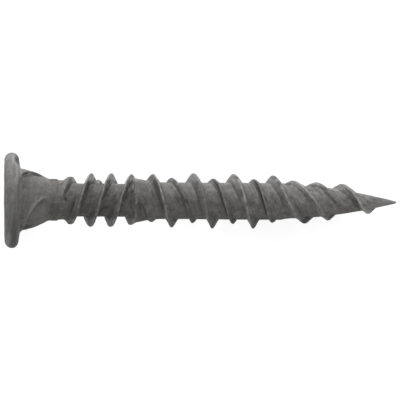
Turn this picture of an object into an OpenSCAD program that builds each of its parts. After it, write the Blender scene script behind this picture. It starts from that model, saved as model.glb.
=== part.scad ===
// Board screw with a flat round head, drawn in millimetres and laid down as it comes to rest.
// It is drawn along +Z, with the face of its head at zero, and then laid with its point along +X.
// Angles round the axis start at the side that lies lowest, so the side seen from above is at 180.

/* [Overall] */
// Length from the face of the head to the point
screw_length = 31.75; // [28:0.25:51]

/* [Head] */
// Diameter of the flat round head
head_d = 7.76; // [6.8:0.02:10]
// Thickness of the head at its fully rounded rim
rim_h = 1.2; // [0.9:0.05:1.6]
// Fall of the underside from the rim to the foot of the neck
underside_fall = 0.2; // [0.1:0.05:0.4]

/* [Neck and shank] */
// Diameter of the neck where it leaves the underside of the head
neck_d = 5.15; // [4.6:0.05:5.8]
// Length of the neck below the head
neck_h = 2.25; // [2:0.05:3.5]
// Swelling of the neck beyond a straight cone
neck_bulge = 0.04; // [0:0.01:0.1]
// Height of the small ring below the neck
collar_h = 0.6; // [0.3:0.05:0.8]
// Amount by which the ring stands out from the shank
collar_step = 0.09; // [0.02:0.01:0.15]
// Diameter of the plain shank
shank_d = 3.2; // [2.8:0.05:3.6]
// Length of the plain shank between the ring and the upper thread
shank_h = 0.5; // [0.2:0.05:3]

/* [Cutting nibs] */
// Number of cutting nibs round the neck
nibs = 4; // [3:1:6]
// Height of a nib where it meets the head
nib_h = 0.3; // [0.15:0.05:0.4]
// Share of the way from one nib to the next that stands at full height
nib_crest = 0.45; // [0.2:0.05:0.6]
// Turn of a nib round the neck between its lower end and the head, in degrees
nib_twist = 58; // [20:1:80]
// Distance from the lower end of the neck at which the nibs stop
nib_stop = 0.35; // [0.2:0.05:0.8]

/* [Drive recess] */
// Diameter of the cross recess at the face of the head
recess_d = 4.7; // [4:0.1:5]
// Depth of the four wings
recess_depth = 2.1; // [1.6:0.05:2.4]
// Width of a wing
wing_w = 0.95; // [0.8:0.05:1.1]
// Diameter of the middle of the recess at the face
recess_core_d = 2.6; // [2.4:0.1:2.8]

/* [Upper thread] */
// Length of the upper thread
upper_h = 5.65; // [4.5:0.05:8]
// Advance of the upper thread in one turn, which runs left-handed
upper_lead = 3.27; // [2.8:0.01:4]
// Outer diameter of the upper thread
upper_d = 4.34; // [3.9:0.02:4.8]
// Diameter at the bottom of the upper thread's grooves
upper_root_d = 2.67; // [2.4:0.01:2.9]
// Width of an upper ridge at the bottom of its grooves
upper_base_w = 1; // [0.8:0.05:1.2]

/* [Blank band] */
// Diameter of the blank band where the upper thread stops
band_d = 3.6; // [3.3:0.05:3.8]
// Length of the blank band between the two threads
band_h = 0.95; // [0.7:0.05:2]

/* [Lower thread] */
// Advance of the lower thread in one turn, which runs right-handed
lower_lead = 3.29; // [2.8:0.01:4]
// Diameter of the core under the lower thread
core_d = 2.98; // [2.6:0.02:3.1]
// Outer diameter of the high ridge
high_d = 4.4; // [4:0.02:4.9]
// Width of the high ridge at the core
high_base_w = 0.97; // [0.8:0.01:1.2]
// Outer diameter of the low ridge
low_d = 3.6; // [3.3:0.02:4]
// Width of the low ridge at the core
low_base_w = 0.76; // [0.6:0.01:1]
// Share of a turn by which the low ridge follows the high one
low_lag = 0.47; // [0.4:0.01:0.6]

/* [Point] */
// Length over which the core draws in to the point
point_h = 9.5; // [7:0.1:12]
// Slope at which the core starts to draw in
point_slope = 0.06; // [0.02:0.01:0.1]
// Diameter of the blunt end of the point
tip_d = 0.14; // [0.04:0.02:0.4]
// Distance from the point at which the high ridge dies out
high_end = 3.9; // [3.5:0.1:6]
// Distance from the point at which the low ridge ends
low_end = 1.9; // [1.6:0.1:3]
// Gain in the height of the low ridge half way down the point
low_gain = 0.18; // [0:0.01:0.25]
// Share by which the ridges widen on the point
point_widen = 0.5; // [0:0.05:0.8]
// Distance by which the ridges run ahead of their lead at the end of the point
point_stretch = 1; // [0:0.05:1.5]
// Distance by which the ridges run askew, from one side of the point to the other
point_skew = 1.1; // [0:0.05:1.2]

/* [Hidden] */
$fn = 96;
steel = "#6b6c6b";

// Angles round the axis of the +Y side and of the side seen from above
y_side = 90;
seen_side = 180;

// Steps of a ridge in one turn, its depth below the surface it stands on, and the widths of its crests
turn_steps = 30;
sink = 0.12;
upper_top_w = 0.16;
lower_top_w = 0.12;

// Head, neck and shank
head_r = head_d / 2;
rim_r = rim_h / 2;
under_r = head_r - rim_r;
neck_r = neck_d / 2;
neck_start = rim_h + underside_fall;
neck_end = neck_start + neck_h;
shank_r = shank_d / 2;
collar_r = shank_r + collar_step;
collar_end = neck_end + collar_h;
collar_slope_h = 0.2;

// Cutting nibs: angle between two of them, angle that the steep face of one takes up, and length cut off
// their lower ends, where they would run out to nothing
nib_end = neck_end - nib_stop;
nib_pitch = 360 / nibs;
nib_face = 7;
nib_cut = 0.1;

// Upper thread: where its grooves run in and out, its first crest on the +Y side, and its worn end
upper_start = collar_end + collar_slope_h + shank_h;
upper_end = upper_start + upper_h;
upper_root_r = upper_root_d / 2;
groove_run_in = 0.95;
groove_run_out = 0.35;
upper_first = upper_start + 0.43;
upper_rise_start = upper_start - 0.9;
upper_rise_end = upper_start + 1.7;
upper_fall_h = 1.2;
upper_fall = 0.12;

// Blank band and core of the lower thread
band_r = band_d / 2;
band_end = upper_end + band_h;
band_fall = 0.12;
core_r = core_d / 2;
core_start = band_end + 1;

// Lower thread: its first crest on the +Y side, and the lengths over which its ridges rise
lower_first = band_end + 0.54;
high_rise = 1;
low_rise = 1.1;

// Point: where it starts, where the ridges end, what is left of the high ridge before it dies out, and how
// far below the core the crests end
point_start = screw_length - point_h;
high_last = screw_length - high_end - point_stretch;
low_last = screw_length - low_end - point_stretch;
high_left = 0.32;
high_fade_h = 1;
low_fade_h = 0.3;
buried = 0.05;

// Distance along the axis of a place on the point, given as a share of the point's length
function on_point(part) = point_start + part * point_h;

// Share of the way between two distances, and the same with soft ends
function share(z, from, to) = max(0, min(1, (z - from) / (to - from)));
function soft(z, from, to) = (1 - cos(180 * share(z, from, to))) / 2;

// Radius of the neck over its nibs and between them, at distance z from the face of the head
function neck_over(z) =
    let (along = share(z, neck_start, neck_end))
    neck_r + (collar_r - neck_r) * along + neck_bulge * sin(180 * along);
function neck_floor(z) = neck_over(z) - nib_h * (1 - pow(share(z, neck_start, nib_end), 2));

// Radius of the core at distance z, which curves in along the point to its blunt end
point_curve = 2 * (core_r - tip_d / 2 - point_slope * point_h) / pow(point_h, 2);
function core_at(z) =
    let (along = max(0, z - point_start))
    core_r - point_slope * along - point_curve * pow(along, 2) / 2;

// Point at radius r, angle a and distance z
function polar(r, a, z) = [r * cos(a), r * sin(a), z];

// Distances at which the outlines of a ridge are drawn
function stations(first, last, lead) =
    let (steps = ceil(abs(last - first) / lead * turn_steps))
    [for (i = [0 : steps]) first + (last - first) * i / steps];

// Outline of a ridge at angle a: foot, shoulder, crest, shoulder and foot.
// The flanks are carried on below the surface that the ridge stands on.
function ridge_ring(a, z, surface_r, height, base_w, top_w) =
    let (
        least_height = 0.25,
        foot_w = base_w + (base_w - top_w) * sink / max(height, least_height),
        foot_r = surface_r - sink,
        crest_r = surface_r + height,
        shoulder_r = crest_r - 0.4 * top_w
    )
    [
        polar(foot_r, a, z - foot_w / 2),
        polar(shoulder_r, a, z - top_w / 2),
        polar(crest_r, a, z),
        polar(shoulder_r, a, z + top_w / 2),
        polar(foot_r, a, z + foot_w / 2)
    ];

// Solid through a row of outlines that have equally many points
module loft(rings) {
    n = len(rings[0]);
    last = len(rings) - 1;
    sides = [
        for (i = [0 : last - 1], j = [0 : n - 1])
            let (a = i * n + j, b = i * n + (j + 1) % n)
            each [[a, b, b + n], [a, b + n, a + n]]
    ];
    near_end = [for (j = [1 : n - 2]) [0, j + 1, j]];
    far_end = [for (j = [1 : n - 2]) [last * n, last * n + j, last * n + j + 1]];
    polyhedron(points = [for (ring = rings) each ring], faces = concat(sides, near_end, far_end));
}

// Upper thread: turn of a ridge from the +Y side at distance z, and its height over the grooves
function upper_turn(z) = -360 * (z - upper_first) / upper_lead;
function upper_height(z) =
    shank_r - upper_root_r
    + (upper_d / 2 - shank_r) * soft(z, upper_rise_start, upper_rise_end)
    - upper_fall * soft(z, upper_end - upper_fall_h, upper_end);

// One ridge of the upper thread, from its worn end up to the shank
module upper_ridge(start_turn) {
    inset = 0.1;
    loft([
        for (z = stations(upper_end - inset, upper_start + inset, upper_lead))
            ridge_ring(
                y_side + start_turn + upper_turn(z), z, upper_root_r, upper_height(z),
                upper_base_w, upper_top_w
            )
    ]);
}

// Lower thread: turn of a ridge from the +Y side at distance z, and where its crest then lies.
// On the point the ridges run ahead of their lead, and further on one side than on the other.
function lower_turn(z, lag) = 360 * ((z - lower_first) / lower_lead - lag);
function ahead(z) = point_stretch * soft(z, on_point(0.305), on_point(0.665));
function askew(z) =
    point_skew * soft(z, on_point(-0.05), on_point(0.26)) * (1 - soft(z, on_point(0.335), on_point(0.685)));
function lower_place(z, lag) = z + ahead(z) + askew(z) * (1 - cos(lower_turn(z, lag))) / 2;

// Heights of the high and low ridges over the core at distance z
function dying_out(height, gone) = height * (1 - gone) - buried * gone;
function high_height(z) =
    dying_out(
        (high_d / 2 - core_r) * soft(z, lower_first - high_rise, lower_first)
        * (1 - (1 - high_left) * share(z, on_point(-0.19), high_last)),
        soft(z, high_last - high_fade_h, high_last)
    );
function low_height(z) =
    dying_out(
        (low_d / 2 - core_r) * soft(z, lower_first - low_rise, lower_first)
        + low_gain * sin(180 * share(z, on_point(0.18), on_point(0.675))),
        soft(z, low_last - low_fade_h, low_last)
    );
function lower_ring(z, lag, height, base_w) =
    let (place = lower_place(z, lag), widen = point_widen * soft(z, point_start, on_point(0.42)))
    ridge_ring(
        y_side + lower_turn(z, lag), place, core_at(place), height, base_w * (1 + widen), lower_top_w
    );

// High ridge of the lower thread
module high_ridge() {
    first = lower_first - 0.75 * high_rise;
    loft([for (z = stations(first, high_last, lower_lead)) lower_ring(z, 0, high_height(z), high_base_w)]);
}

// Low ridge of the lower thread, which runs further down the point
module low_ridge() {
    first = lower_first - 0.8 * low_rise;
    loft([for (z = stations(first, low_last, lower_lead)) lower_ring(z, low_lag, low_height(z), low_base_w)]);
}

// Outline of a nib across the neck: steep face, crest, and slope down to the face of the next nib
function nib_ring(z, edge) =
    let (
        crest_steps = 4,
        slope_steps = 4,
        crest_r = neck_over(z),
        foot_r = neck_floor(z) - sink,
        crest_turn = nib_pitch * nib_crest,
        slope_turn = nib_pitch * 0.97 - nib_face - crest_turn
    )
    concat(
        [polar(foot_r, edge, z)],
        [for (j = [0 : crest_steps]) polar(crest_r, edge - nib_face - crest_turn * j / crest_steps, z)],
        [
            for (j = [1 : slope_steps])
                polar(
                    crest_r + (foot_r - crest_r) * j / slope_steps,
                    edge - nib_face - crest_turn - slope_turn * j / slope_steps, z
                )
        ]
    );

// Cutting nib with its steep face on the side that turns into the board
module nib(start_turn) {
    steps = 10;
    first = rim_h - 0.15;
    loft([
        for (i = [0 : steps])
            let (z = first + (nib_end - nib_cut - first) * i / steps)
            nib_ring(z, start_turn + nib_twist * pow((nib_end - z) / (nib_end - neck_start), 1.6))
    ]);
}

// Turned body of the screw, from its head to its point
module turned_body() {
    neck_steps = 8;
    point_steps = 10;
    corner = 0.1;
    head_foot = [[0, rim_r], [under_r, rim_r], [under_r, rim_h], [neck_r + corner, neck_start - corner]];
    neck = [
        for (i = [0 : neck_steps])
            let (z = neck_start + (nib_end - neck_start) * i / neck_steps)
            [neck_floor(z), z]
    ];
    shank_and_threads = [
        [collar_r, neck_end],
        [collar_r, collar_end],
        [shank_r, collar_end + collar_slope_h],
        [shank_r, upper_start],
        [upper_root_r, upper_start + groove_run_in],
        [upper_root_r, upper_end - groove_run_out],
        [band_r, upper_end],
        [core_r + band_fall, band_end],
        [core_r, core_start]
    ];
    tip = [for (i = [0 : point_steps]) let (z = on_point(i / point_steps)) [core_at(z), z]];
    rotate_extrude() {
        square([under_r, rim_h]);
        translate([under_r, rim_r]) circle(r = rim_r);
        polygon(concat(head_foot, neck, shank_and_threads, tip, [[0, screw_length]]));
    }
}

// Cross recess in the face of the head: four tapered wings round a conical middle
module recess() {
    wing_taper = 26.5;
    floor_taper = 62;
    wing_start = 45;
    over = 0.1;
    mouth_r = recess_d / 2;
    wing_end_r = mouth_r - recess_depth * tan(wing_taper);
    core_end_r = wing_end_r - 0.1;
    pit_r = 0.05;
    intersection() {
        translate([0, 0, -over])
            cylinder(r1 = mouth_r + over * tan(wing_taper), r2 = wing_end_r, h = recess_depth + over);
        union() {
            for (turn = [0, 90])
                rotate(wing_start + turn) translate([-recess_d, -wing_w / 2, -over])
                    cube([2 * recess_d, wing_w, recess_depth + over]);
            translate([0, 0, -over])
                cylinder(r1 = recess_core_d / 2, r2 = core_end_r, h = recess_depth + over);
        }
    }
    translate([0, 0, recess_depth - over / 10])
        cylinder(r1 = core_end_r, r2 = pit_r, h = (core_end_r - pit_r) / tan(floor_taper));
}

// Whole screw along +Z
module upright_screw() {
    difference() {
        union() {
            turned_body();
            for (i = [0 : nibs - 1]) nib(seen_side + i * nib_pitch);
            for (start_turn = [0, 180]) upper_ridge(start_turn);
            high_ridge();
            low_ridge();
        }
        recess();
    }
}

// Tilt at which the surface below touches both the rim of the head and a place further along,
// which reaches down from the axis by a given length
function touching_tilt(place, reach) =
    let (along = place - rim_r, down = under_r - reach)
    atan(down / along) + asin(rim_r / norm([along, down]));
function crest_tilt(z, lag, height) =
    let (place = lower_place(z, lag))
    touching_tilt(place, (core_at(place) + height) * cos(y_side + lower_turn(z, lag)));

// The screw comes to rest on the place that it touches first: a crest of either ridge, or the point
rest_tilt = min(concat(
    [for (z = stations(lower_first, high_last, lower_lead)) crest_tilt(z, 0, high_height(z))],
    [for (z = stations(lower_first, low_last, lower_lead)) crest_tilt(z, low_lag, low_height(z))],
    [touching_tilt(screw_length, tip_d / 2)]
));

// Extent along X and height of the face of the head, once the screw lies at that tilt
rest_left = rim_r * (cos(rest_tilt) - 1) - under_r * sin(rest_tilt);
rest_right = screw_length * cos(rest_tilt) + tip_d / 2 * sin(rest_tilt);
rest_height = rim_r * (1 + sin(rest_tilt)) + under_r * cos(rest_tilt);

module screw() {
    color(steel)
        translate([-(rest_left + rest_right) / 2, 0, rest_height])
            rotate([0, 90 + rest_tilt, 0])
                upright_screw();
}

screw();
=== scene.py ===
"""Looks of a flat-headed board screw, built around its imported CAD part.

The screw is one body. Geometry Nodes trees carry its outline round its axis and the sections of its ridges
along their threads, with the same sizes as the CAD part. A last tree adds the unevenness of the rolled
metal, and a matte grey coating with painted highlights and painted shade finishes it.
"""

import logging
import math
from dataclasses import dataclass, field
from enum import Enum
from typing import Callable, Mapping, Sequence, Union

import bmesh
import bpy
from mathutils import Matrix, Vector


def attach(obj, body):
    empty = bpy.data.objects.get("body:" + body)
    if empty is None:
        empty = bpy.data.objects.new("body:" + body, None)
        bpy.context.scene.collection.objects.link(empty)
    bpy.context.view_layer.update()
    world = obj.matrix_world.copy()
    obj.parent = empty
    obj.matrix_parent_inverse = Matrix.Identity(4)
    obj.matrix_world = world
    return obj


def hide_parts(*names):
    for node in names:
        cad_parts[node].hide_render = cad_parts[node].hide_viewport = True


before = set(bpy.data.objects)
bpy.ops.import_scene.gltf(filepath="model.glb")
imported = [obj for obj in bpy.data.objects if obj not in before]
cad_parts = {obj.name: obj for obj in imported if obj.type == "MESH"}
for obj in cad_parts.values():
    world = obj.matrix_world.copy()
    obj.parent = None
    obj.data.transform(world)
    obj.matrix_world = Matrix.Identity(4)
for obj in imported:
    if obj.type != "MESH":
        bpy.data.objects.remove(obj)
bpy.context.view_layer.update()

log = logging.getLogger("screw")

Pair = tuple[float, float]
Triple = tuple[float, float, float]

MM = 0.001
WELD_REACH = 1e-6
PIECE = "screw_body"
NODE = "screw"
BODY = "root"
SLOT = "coated_steel"


class Hand(Enum):
    """Way in which a thread turns as it runs away from the head."""

    RIGHT = 1
    LEFT = -1


class Mark(Enum):
    """What a knock has left on the surface."""

    DENT = -1
    LUMP = 1


class Field:
    """A socket of a node tree on which Python's operators add Math nodes."""

    def __init__(self, sheet: "NodeSheet", socket: bpy.types.NodeSocket) -> None:
        """Args:
            sheet: Tree that the socket belongs to.
            socket: Output socket that holds the value.
        """
        self.sheet = sheet
        self.socket = socket

    def __add__(self, other: "Amount") -> "Field":
        """Sum of this value and another."""
        return self.sheet.math("ADD", self, other)

    def __radd__(self, other: "Amount") -> "Field":
        """Sum of another value and this one."""
        return self.sheet.math("ADD", other, self)

    def __sub__(self, other: "Amount") -> "Field":
        """This value less another."""
        return self.sheet.math("SUBTRACT", self, other)

    def __rsub__(self, other: "Amount") -> "Field":
        """Another value less this one."""
        return self.sheet.math("SUBTRACT", other, self)

    def __mul__(self, other: "Amount") -> "Field":
        """Product of this value and another."""
        return self.sheet.math("MULTIPLY", self, other)

    def __rmul__(self, other: "Amount") -> "Field":
        """Product of another value and this one."""
        return self.sheet.math("MULTIPLY", other, self)

    def __truediv__(self, other: "Amount") -> "Field":
        """This value divided by another."""
        return self.sheet.math("DIVIDE", self, other)

    def __rtruediv__(self, other: "Amount") -> "Field":
        """Another value divided by this one."""
        return self.sheet.math("DIVIDE", other, self)

    def __pow__(self, other: "Amount") -> "Field":
        """This value to the power of another."""
        return self.sheet.math("POWER", self, other)

    def __neg__(self) -> "Field":
        """This value with its sign changed."""
        return self.sheet.math("MULTIPLY", self, -1.0)


Amount = Union[float, int, Field]


class NodeSheet:
    """A node tree, with short ways to add nodes to it."""

    def __init__(self, tree: bpy.types.NodeTree) -> None:
        """Args:
            tree: Empty tree that the nodes go into.
        """
        self.tree = tree

    def add(
        self,
        kind: str,
        settings: Mapping[str, object] | None = None,
        sockets: Mapping[int | str, object] | None = None,
    ) -> bpy.types.Node:
        """Adds one node.

        Args:
            kind: Blender's name of the node's type.
            settings: Properties of the node, set first. "stops" holds a ramp's positions and colours,
                "knots" a curve's points and "place" where a texture lies.
            sockets: Values or links of its inputs, by name or number.

        Returns:
            The new node.
        """
        node = self.tree.nodes.new(kind)
        for name, value in (settings or {}).items():
            if name == "stops":
                self._lay_stops(node.color_ramp, value)
            elif name == "knots":
                self._lay_knots(node.mapping, value)
            elif name == "place":
                for part, number in value.items():
                    setattr(node.texture_mapping, part, number)
            else:
                setattr(node, name, value)
        for key, value in (sockets or {}).items():
            if isinstance(value, Field):
                value = value.socket
            if isinstance(value, bpy.types.NodeSocket):
                self.tree.links.new(value, node.inputs[key])
            else:
                node.inputs[key].default_value = value
        return node

    @staticmethod
    def _lay_stops(ramp: bpy.types.ColorRamp, stops: Sequence[tuple[float, tuple]]) -> None:
        """Sets a ramp's stops.

        Args:
            ramp: Ramp that is set.
            stops: Position and colour of each stop, in order.
        """
        while len(ramp.elements) > 1:
            ramp.elements.remove(ramp.elements[-1])
        for i, (position, colour) in enumerate(stops):
            stop = ramp.elements[0] if i == 0 else ramp.elements.new(position)
            stop.position = position
            stop.color = colour

    @staticmethod
    def _lay_knots(mapping: bpy.types.CurveMapping, knots: Sequence[Pair]) -> None:
        """Sets the points of a curve that maps one number to another.

        Args:
            mapping: Mapping that is set.
            knots: Points of the curve, in order.
        """
        curve = mapping.curves[0]
        for x, y in knots[1:-1]:
            curve.points.new(x, y)
        for point, place in zip(curve.points, knots):
            point.location = place
        mapping.update()

    def math(self, operation: str, *values: Amount) -> Field:
        """Result of a Math node.

        Args:
            operation: Blender's name of the operation.
            values: Its inputs, in order.

        Returns:
            The node's output.
        """
        node = self.add("ShaderNodeMath", {"operation": operation}, dict(enumerate(values)))
        return Field(self, node.outputs[0])

    def share(self, value: Amount, start: Amount, end: Amount) -> Field:
        """Share of the way from start to end, kept between 0 and 1.

        Args:
            value: Number that lies somewhere on the way.
            start: Number at which the share is 0.
            end: Number at which the share is 1.

        Returns:
            The share.
        """
        node = self.add("ShaderNodeMapRange", sockets={0: value, 1: start, 2: end})
        return Field(self, node.outputs[0])

    def curve(self, value: Amount, knots: Sequence[Pair], span: float) -> Field:
        """Number read off a smooth curve through knots.

        Args:
            value: Place at which it is read.
            knots: Place and number of each knot, in order.
            span: Largest number that the curve holds, either way.

        Returns:
            The number.
        """
        start, end = knots[0][0], knots[-1][0]
        laid = [((place - start) / (end - start), 0.5 + number / (2 * span)) for place, number in knots]
        node = self.add("ShaderNodeFloatCurve", {"knots": laid}, {"Value": self.share(value, start, end)})
        return (Field(self, node.outputs[0]) - 0.5) * (2 * span)

    def combine(self, x: Amount, y: Amount, z: Amount) -> Field:
        """Vector with the given parts."""
        return Field(self, self.add("ShaderNodeCombineXYZ", sockets={0: x, 1: y, 2: z}).outputs[0])

    def split(self, vector: Field) -> tuple[Field, Field, Field]:
        """The three parts of a vector."""
        node = self.add("ShaderNodeSeparateXYZ", sockets={0: vector})
        return Field(self, node.outputs[0]), Field(self, node.outputs[1]), Field(self, node.outputs[2])

    def vector_math(self, operation: str, sockets: Mapping[int | str, object]) -> bpy.types.Node:
        """Vector Math node with the given inputs."""
        return self.add("ShaderNodeVectorMath", {"operation": operation}, sockets)

    def less(self, a: Field, b: object) -> Field:
        """Vector a less vector b."""
        return Field(self, self.vector_math("SUBTRACT", {0: a, 1: b}).outputs[0])

    def scaled(self, vector: Field, factor: Amount) -> Field:
        """Vector times a number."""
        return Field(self, self.vector_math("SCALE", {0: vector, "Scale": factor}).outputs[0])

    def dot(self, a: Field, b: object) -> Field:
        """Scalar product of two vectors."""
        return Field(self, self.vector_math("DOT_PRODUCT", {0: a, 1: b}).outputs[1])

    def length(self, vector: Field) -> Field:
        """Length of a vector."""
        return Field(self, self.vector_math("LENGTH", {0: vector}).outputs[1])

    def noise(
        self, place: Field, size: Amount, seed: float, detail: float = 2.0, rough: float = 0.5
    ) -> Field:
        """Smooth random number from 0 to 1 that stays the same at the same place.

        Args:
            place: Vector at which it is read.
            size: Rough size of its patches, in the vector's own unit.
            seed: Fixed number that sets the pattern.
            detail: Number of finer layers on it.
            rough: Share that each finer layer keeps of the one before.

        Returns:
            The number, mostly between 0.3 and 0.7.
        """
        node = self.add(
            "ShaderNodeTexNoise",
            {"noise_dimensions": "4D"},
            {"Vector": place, "W": seed, "Scale": 1.0 / size, "Detail": detail, "Roughness": rough},
        )
        return Field(self, node.outputs[0])

    def swing(self, place: Field, size: Amount, seed: float) -> Field:
        """Smooth random number that stays mostly between -1 and 1."""
        return (self.noise(place, size, seed) - 0.5) * 4.0


def share(value: Amount, start: Amount, end: Amount) -> Amount:
    """Share of the way from start to end, of a number or of a field.

    Args:
        value: Number or field that lies somewhere on the way.
        start: Value at which the share is 0.
        end: Value at which the share is 1.

    Returns:
        The share, kept between 0 and 1.
    """
    if isinstance(value, Field):
        return value.sheet.share(value, start, end)
    return min(1.0, max(0.0, (value - start) / (end - start)))


def cosine(angle: Amount) -> Amount:
    """Cosine of an angle in degrees, of a number or of a field."""
    if isinstance(angle, Field):
        return angle.sheet.math("COSINE", angle * math.radians(1))
    return math.cos(math.radians(angle))


def sine(angle: Amount) -> Amount:
    """Sine of an angle in degrees, of a number or of a field."""
    if isinstance(angle, Field):
        return angle.sheet.math("SINE", angle * math.radians(1))
    return math.sin(math.radians(angle))


def soft(value: Amount, start: Amount, end: Amount) -> Amount:
    """Share of the way from start to end, with soft ends."""
    return (1 - cosine(180 * share(value, start, end))) / 2


@dataclass(frozen=True)
class Rest:
    """How the screw lies, in millimetres and degrees.

    Angles round the axis start at the side that lies lowest, and pass the +Y side at 90.
    """

    tilt: float = 4.83434
    middle: float = 15.68217
    face_height: float = 3.9189

    @property
    def axis(self) -> Vector:
        """Direction of the axis, from the head to the point."""
        return Vector((cosine(self.tilt), 0, -sine(self.tilt)))

    @property
    def up(self) -> Vector:
        """Direction square to the axis that points away from the floor."""
        return Vector((sine(self.tilt), 0, cosine(self.tilt)))

    @property
    def face(self) -> Vector:
        """Middle of the face of the head, in metres."""
        return Vector((-self.middle, 0, self.face_height)) * MM

    def point(self, along: float, side: float = 0, up: float = 0) -> Vector:
        """Point at a distance from the face of the head, to the +Y side and above the axis, in metres."""
        return self.face + (self.axis * along + Vector((0, side, 0)) + self.up * up) * MM

    def lay(
        self, sheet: NodeSheet, radius: Field, angle: Field, along: Field, side: Amount = 0.0
    ) -> Field:
        """Place in the room of a point of the screw.

        Args:
            sheet: Tree that works it out.
            radius: Distance from the axis.
            angle: Angle round the axis.
            along: Distance from the face of the head.
            side: Further distance to the +Y side.

        Returns:
            The place in metres.
        """
        down = radius * cosine(angle)
        x = along * self.axis.x - down * self.up.x - self.middle
        z = along * self.axis.z - down * self.up.z + self.face_height
        return sheet.combine(x * MM, (radius * sine(angle) + side) * MM, z * MM)


REST = Rest()


@dataclass(frozen=True)
class Profile:
    """Outline of the turned body, in millimetres from the face of the head and from the axis."""

    length: float = 31.75
    head_r: float = 3.88
    rim_r: float = 0.6
    neck_start: float = 1.4
    neck_end: float = 3.65
    neck_r: float = 2.575
    neck_bulge: float = 0.04
    collar_r: float = 1.69
    collar_end: float = 4.25
    collar_slope_h: float = 0.2
    shank_r: float = 1.6
    upper_start: float = 4.95
    upper_end: float = 10.6
    upper_root_r: float = 1.335
    run_in: float = 0.95
    run_out: float = 0.35
    band_r: float = 1.8
    band_end: float = 11.55
    band_end_r: float = 1.61
    core_start: float = 12.55
    core_r: float = 1.49
    point_start: float = 22.25
    point_slope: float = 0.06
    tip_r: float = 0.07
    fullness: float = 0.03
    full_rise_h: float = 3.0
    full_fall_start: float = 29.5
    full_past: float = 1.0

    @property
    def point_h(self) -> float:
        """Length over which the core draws in to the point."""
        return self.length - self.point_start

    def on_point(self, part: float) -> float:
        """Distance of a place given as a share of the point's length."""
        return self.point_start + part * self.point_h

    def neck_over(self, along: Amount) -> Amount:
        """Radius of the neck over its nibs at a distance."""
        part = share(along, self.neck_start, self.neck_end)
        return self.neck_r + (self.collar_r - self.neck_r) * part + self.neck_bulge * sine(180 * part)

    def fuller(self, along: Amount) -> Amount:
        """Radius that the point has beyond its plain curve at a distance."""
        rise = share(along, self.point_start, self.point_start + self.full_rise_h)
        return self.fullness * rise * share(along, self.length + self.full_past, self.full_fall_start)

    def core_at(self, along: Amount) -> Amount:
        """Radius of the core under the lower thread at a distance.

        Args:
            along: Distance from the face of the head.

        Returns:
            The radius, which is drawn in by a curve on the point.
        """
        drawn = self.point_h * share(along, self.point_start, self.length)
        curve = (self.core_r - self.tip_r - self.point_slope * self.point_h) / self.point_h**2
        return self.core_r - self.point_slope * drawn - curve * drawn * drawn + self.fuller(along)

    def floor_at(self, along: Amount) -> Amount:
        """Radius of the surface that the ridges stand on, from the collar to the point.

        Args:
            along: Distance from the face of the head.

        Returns:
            The radius, without the ridges.
        """
        root_r = self.upper_root_r
        cut_in = share(along, self.upper_start, self.upper_start + self.run_in)
        cut_out = share(along, self.upper_end - self.run_out, self.upper_end)
        return (
            self.core_at(along)
            + (self.shank_r - root_r) * (1 - cut_in)
            + (root_r - self.core_r)
            + (self.band_r - root_r) * cut_out
            - (self.band_r - self.band_end_r) * share(along, self.upper_end, self.band_end)
            - (self.band_end_r - self.core_r) * share(along, self.band_end, self.core_start)
        )


PROFILE = Profile()


@dataclass(frozen=True)
class Net:
    """A grid whose rows repeat a drawn line of points.

    Attributes:
        mesh: Output that holds the grid.
        ring: Number of the row.
        first: First number of the line's point, and so on.
    """

    mesh: bpy.types.NodeSocket
    ring: Field
    first: Field
    second: Field
    third: Field


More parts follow.
